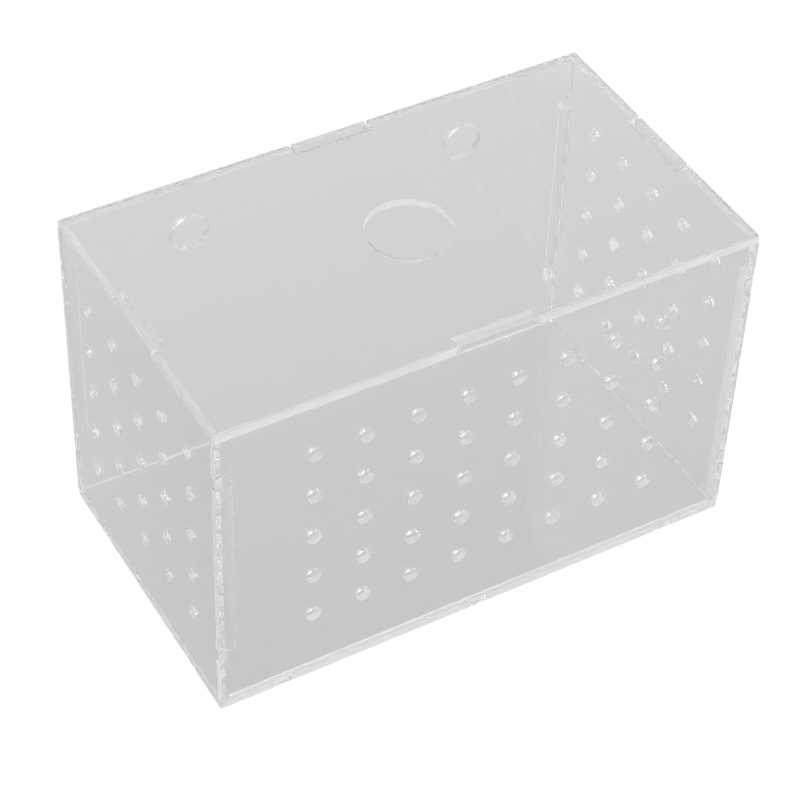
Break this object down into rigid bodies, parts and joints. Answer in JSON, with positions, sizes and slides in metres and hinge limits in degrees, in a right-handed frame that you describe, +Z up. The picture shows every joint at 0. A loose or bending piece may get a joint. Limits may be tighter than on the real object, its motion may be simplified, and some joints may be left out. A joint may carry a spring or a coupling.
{
  "type": "fish breeding box",
  "caption": "Clear acrylic hang-in box that keeps breeding fish or fry apart inside a tank, with perforated walls, hanging holes at the back and a loose lid with a feeding hole.",
  "frame": {"origin": "centre of the underside, on the plane the box stands on", "axes": "+X along the length to the right, +Y to the back wall that hangs against the tank glass, +Z up to the lid"},
  "size_m": [0.215, 0.122, 0.137],
  "materials": {
    "clear_acrylic": "clear colourless cast acrylic sheet, polished faces and slightly frosted laser-cut edges"
  },
  "bodies": {
    "box": {"base_panel": "clear_acrylic", "front_wall": "clear_acrylic", "back_wall": "clear_acrylic", "left_wall": "clear_acrylic", "right_wall": "clear_acrylic"},
    "lid": {"lid_panel": "clear_acrylic"}
  },
  "joints": [
    {"name": "lid_lift", "type": "slide", "parent": "box", "child": "lid", "axis": [0, 0, 1], "range_m": [0, 0.06]}
  ]
}
